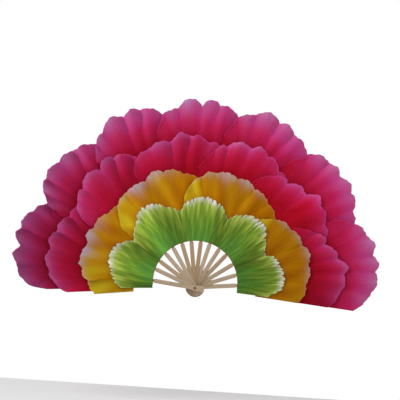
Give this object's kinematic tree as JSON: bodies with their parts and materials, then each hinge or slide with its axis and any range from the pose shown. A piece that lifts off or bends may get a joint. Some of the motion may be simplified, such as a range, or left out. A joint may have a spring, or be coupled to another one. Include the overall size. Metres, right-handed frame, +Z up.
{
  "type": "giant petal hand fan",
  "caption": "Large folding hand fan with bamboo sticks on one rivet and overlapping rows of green, yellow and pink cloth petals, shown open.",
  "frame": {"origin": "on the rivet's axis, halfway through the stack of sticks, where a hand holds the fan", "axes": "+Z up the open fan's bisector, +X to the right seen from the front, -Y out of the front"},
  "size_m": [1.0025, 0.0573, 0.5517],
  "materials": {
    "bamboo": "satin",
    "pale_bamboo": "satin",
    "rivet_metal": "satin",
    "leaf_cloth": "satin",
    "green_cloth": "satin",
    "yellow_cloth": "satin",
    "inner_pink_cloth": "satin",
    "outer_pink_cloth": "satin"
  },
  "bodies": {
    "front_guard": {"front_guard": "pale_bamboo", "rivet": "rivet_metal", "washer_front": "rivet_metal", "washer_back": "rivet_metal", "leaf_flap_left": "leaf_cloth", "yellow_petal_1": "yellow_cloth", "inner_pink_petal_1": "inner_pink_cloth", "outer_pink_petal_1": "outer_pink_cloth"},
    "stick_01": {"stick_01": "bamboo", "leaf_panel_01": "leaf_cloth", "green_petal_1": "green_cloth"},
    "stick_02": {"stick_02": "bamboo", "leaf_panel_02": "leaf_cloth", "outer_pink_petal_2": "outer_pink_cloth"},
    "stick_03": {"stick_03": "bamboo", "leaf_panel_03": "leaf_cloth", "inner_pink_petal_2": "inner_pink_cloth"},
    "stick_04": {"stick_04": "bamboo", "leaf_panel_04": "leaf_cloth", "green_petal_2": "green_cloth", "yellow_petal_2": "yellow_cloth", "outer_pink_petal_3": "outer_pink_cloth"},
    "stick_05": {"stick_05": "bamboo", "leaf_panel_05": "leaf_cloth", "inner_pink_petal_3": "inner_pink_cloth"},
    "stick_06": {"stick_06": "bamboo", "leaf_panel_06": "leaf_cloth", "outer_pink_petal_4": "outer_pink_cloth"},
    "stick_07": {"stick_07": "bamboo", "leaf_panel_07": "leaf_cloth", "green_petal_3": "green_cloth"},
    "stick_08": {"stick_08": "bamboo", "leaf_panel_08": "leaf_cloth", "yellow_petal_3": "yellow_cloth", "inner_pink_petal_4": "inner_pink_cloth", "outer_pink_petal_5": "outer_pink_cloth"},
    "stick_09": {"stick_09": "bamboo", "leaf_panel_09": "leaf_cloth"},
    "stick_10": {"stick_10": "bamboo", "leaf_panel_10": "leaf_cloth", "green_petal_4": "green_cloth", "inner_pink_petal_5": "inner_pink_cloth", "outer_pink_petal_6": "outer_pink_cloth"},
    "stick_11": {"stick_11": "bamboo", "leaf_panel_11": "leaf_cloth"},
    "stick_12": {"stick_12": "bamboo", "leaf_panel_12": "leaf_cloth", "yellow_petal_4": "yellow_cloth", "inner_pink_petal_6": "inner_pink_cloth"},
    "back_guard": {"back_guard": "pale_bamboo", "leaf_panel_13": "leaf_cloth", "leaf_flap_right": "leaf_cloth", "green_petal_5": "green_cloth", "outer_pink_petal_7": "outer_pink_cloth"}
  },
  "joints": [
    {"name": "fold_01", "type": "hinge", "parent": "front_guard", "child": "stick_01", "pos_m": [0, 0, 0], "axis": [0, -1, 0], "range_deg": [0, 15.5], "deforming": ["leaf_panel_01", "green_petal_1", "yellow_petal_1", "inner_pink_petal_1", "outer_pink_petal_1"]},
    {"name": "fold_02", "type": "hinge", "parent": "stick_01", "child": "stick_02", "pos_m": [0, 0, 0], "axis": [0, -1, 0], "range_deg": [0, 11.8], "deforming": ["leaf_panel_02", "green_petal_1", "green_petal_2", "yellow_petal_1", "inner_pink_petal_1", "inner_pink_petal_2", "outer_pink_petal_1", "outer_pink_petal_2"]},
    {"name": "fold_03", "type": "hinge", "parent": "stick_02", "child": "stick_03", "pos_m": [0, 0, 0], "axis": [0, -1, 0], "range_deg": [0, 12.2], "deforming": ["leaf_panel_03", "green_petal_1", "green_petal_2", "yellow_petal_1", "yellow_petal_2", "inner_pink_petal_2", "outer_pink_petal_2"]},
    {"name": "fold_04", "type": "hinge", "parent": "stick_03", "child": "stick_04", "pos_m": [0, 0, 0], "axis": [0, -1, 0], "range_deg": [0, 12], "deforming": ["leaf_panel_04", "green_petal_2", "yellow_petal_2", "inner_pink_petal_2", "inner_pink_petal_3", "outer_pink_petal_2", "outer_pink_petal_3"]},
    {"name": "fold_05", "type": "hinge", "parent": "stick_04", "child": "stick_05", "pos_m": [0, 0, 0], "axis": [0, -1, 0], "range_deg": [0, 12.3], "deforming": ["leaf_panel_05", "green_petal_2", "yellow_petal_2", "inner_pink_petal_2", "inner_pink_petal_3", "outer_pink_petal_3"]},
    {"name": "fold_06", "type": "hinge", "parent": "stick_05", "child": "stick_06", "pos_m": [0, 0, 0], "axis": [0, -1, 0], "range_deg": [0, 11.9], "deforming": ["leaf_panel_06", "green_petal_2", "green_petal_3", "yellow_petal_2", "yellow_petal_3", "inner_pink_petal_3", "outer_pink_petal_3", "outer_pink_petal_4"]},
    {"name": "fold_07", "type": "hinge", "parent": "stick_06", "child": "stick_07", "pos_m": [0, 0, 0], "axis": [0, -1, 0], "range_deg": [0, 11.7], "deforming": ["leaf_panel_07", "green_petal_3", "yellow_petal_2", "yellow_petal_3", "inner_pink_petal_3", "inner_pink_petal_4", "outer_pink_petal_4"]},
    {"name": "fold_08", "type": "hinge", "parent": "stick_07", "child": "stick_08", "pos_m": [0, 0, 0], "axis": [0, -1, 0], "range_deg": [0, 11.5], "deforming": ["leaf_panel_08", "green_petal_3", "yellow_petal_3", "inner_pink_petal_3", "inner_pink_petal_4", "outer_pink_petal_4", "outer_pink_petal_5"]},
    {"name": "fold_09", "type": "hinge", "parent": "stick_08", "child": "stick_09", "pos_m": [0, 0, 0], "axis": [0, -1, 0], "range_deg": [0, 13.4], "deforming": ["leaf_panel_09", "green_petal_3", "green_petal_4", "yellow_petal_3", "inner_pink_petal_4", "inner_pink_petal_5", "outer_pink_petal_5"]},
    {"name": "fold_10", "type": "hinge", "parent": "stick_09", "child": "stick_10", "pos_m": [0, 0, 0], "axis": [0, -1, 0], "range_deg": [0, 11.7], "deforming": ["leaf_panel_10", "green_petal_4", "yellow_petal_3", "yellow_petal_4", "inner_pink_petal_4", "inner_pink_petal_5", "outer_pink_petal_5", "outer_pink_petal_6"]},
    {"name": "fold_11", "type": "hinge", "parent": "stick_10", "child": "stick_11", "pos_m": [0, 0, 0], "axis": [0, -1, 0], "range_deg": [0, 14.8], "deforming": ["leaf_panel_11", "green_petal_4", "yellow_petal_3", "yellow_petal_4", "inner_pink_petal_5", "inner_pink_petal_6", "outer_pink_petal_6"]},
    {"name": "fold_12", "type": "hinge", "parent": "stick_11", "child": "stick_12", "pos_m": [0, 0, 0], "axis": [0, -1, 0], "range_deg": [0, 14.7], "deforming": ["leaf_panel_12", "green_petal_4", "green_petal_5", "yellow_petal_4", "inner_pink_petal_5", "inner_pink_petal_6", "outer_pink_petal_6", "outer_pink_petal_7"]},
    {"name": "fold_13", "type": "hinge", "parent": "stick_12", "child": "back_guard", "pos_m": [0, 0, 0], "axis": [0, -1, 0], "range_deg": [0, 14.1], "deforming": ["leaf_panel_13", "green_petal_5", "yellow_petal_4", "inner_pink_petal_6", "outer_pink_petal_7"]}
  ],
  "couplings": [
    {"joint": "fold_02", "follows": "fold_01", "ratio": 0.76129},
    {"joint": "fold_03", "follows": "fold_01", "ratio": 0.7871},
    {"joint": "fold_04", "follows": "fold_01", "ratio": 0.77419},
    {"joint": "fold_05", "follows": "fold_01", "ratio": 0.79355},
    {"joint": "fold_06", "follows": "fold_01", "ratio": 0.76774},
    {"joint": "fold_07", "follows": "fold_01", "ratio": 0.75484},
    {"joint": "fold_08", "follows": "fold_01", "ratio": 0.74194},
    {"joint": "fold_09", "follows": "fold_01", "ratio": 0.86452},
    {"joint": "fold_10", "follows": "fold_01", "ratio": 0.75484},
    {"joint": "fold_11", "follows": "fold_01", "ratio": 0.95484},
    {"joint": "fold_12", "follows": "fold_01", "ratio": 0.94839},
    {"joint": "fold_13", "follows": "fold_01", "ratio": 0.90968}
  ]
}
